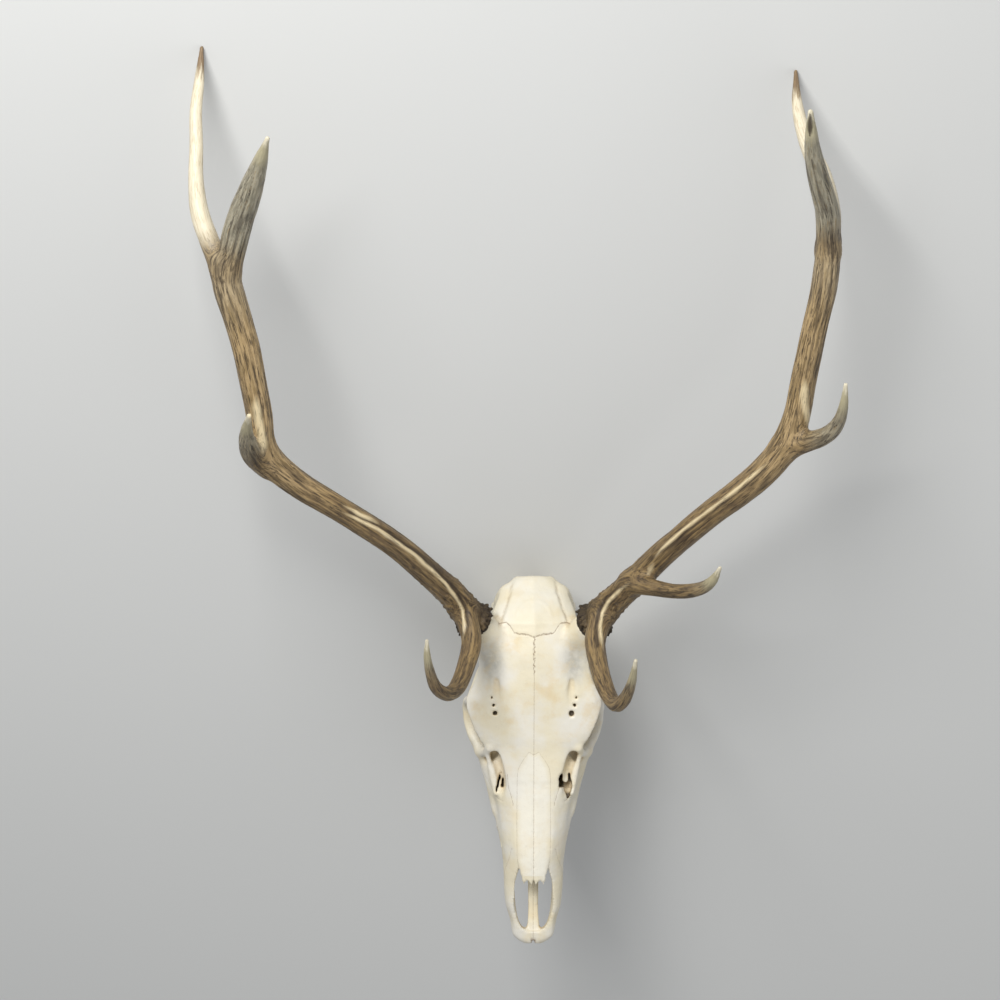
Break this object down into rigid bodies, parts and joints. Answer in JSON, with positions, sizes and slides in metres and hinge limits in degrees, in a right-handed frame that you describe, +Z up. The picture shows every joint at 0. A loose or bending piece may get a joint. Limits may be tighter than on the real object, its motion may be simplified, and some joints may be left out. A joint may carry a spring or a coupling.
{
  "type": "elk skull with antlers",
  "caption": "Cleaned bull elk skull without its lower jaw, with both branching antlers, resting on the back of the skull and the rear antler tips.",
  "frame": {"origin": "middle of the bounding box on the surface that the skull rests on", "axes": "+Z up from the surface, +Y the object's long way, from the raised nose towards the antler tops, +X the animal's left"},
  "size_m": [0.7014, 1.1014, 0.3151],
  "materials": {
    "bone": "matt whitened bone",
    "enamel": "worn satin enamel",
    "antler": "satin brown antler with polished ridges",
    "pale_tine": "polished pale antler"
  },
  "bodies": {
    "root": {"skull": "bone", "left_premolar_2": "enamel", "left_premolar_3": "enamel", "left_premolar_4": "enamel", "left_molar_1": "enamel", "left_molar_2": "enamel", "left_molar_3": "enamel", "left_lower_beam": "antler", "left_upper_beam": "antler", "left_brow_tine": "antler", "left_third_tine": "antler", "left_top_front_tine": "antler", "left_top_rear_tine": "pale_tine", "right_premolar_2": "enamel", "right_premolar_3": "enamel", "right_premolar_4": "enamel", "right_molar_1": "enamel", "right_molar_2": "enamel", "right_molar_3": "enamel", "right_lower_beam": "antler", "right_upper_beam": "antler", "right_brow_tine": "antler", "right_third_tine": "antler", "right_top_front_tine": "antler", "right_top_rear_tine": "pale_tine", "left_bez_tine": "antler"}
  },
  "joints": []
}
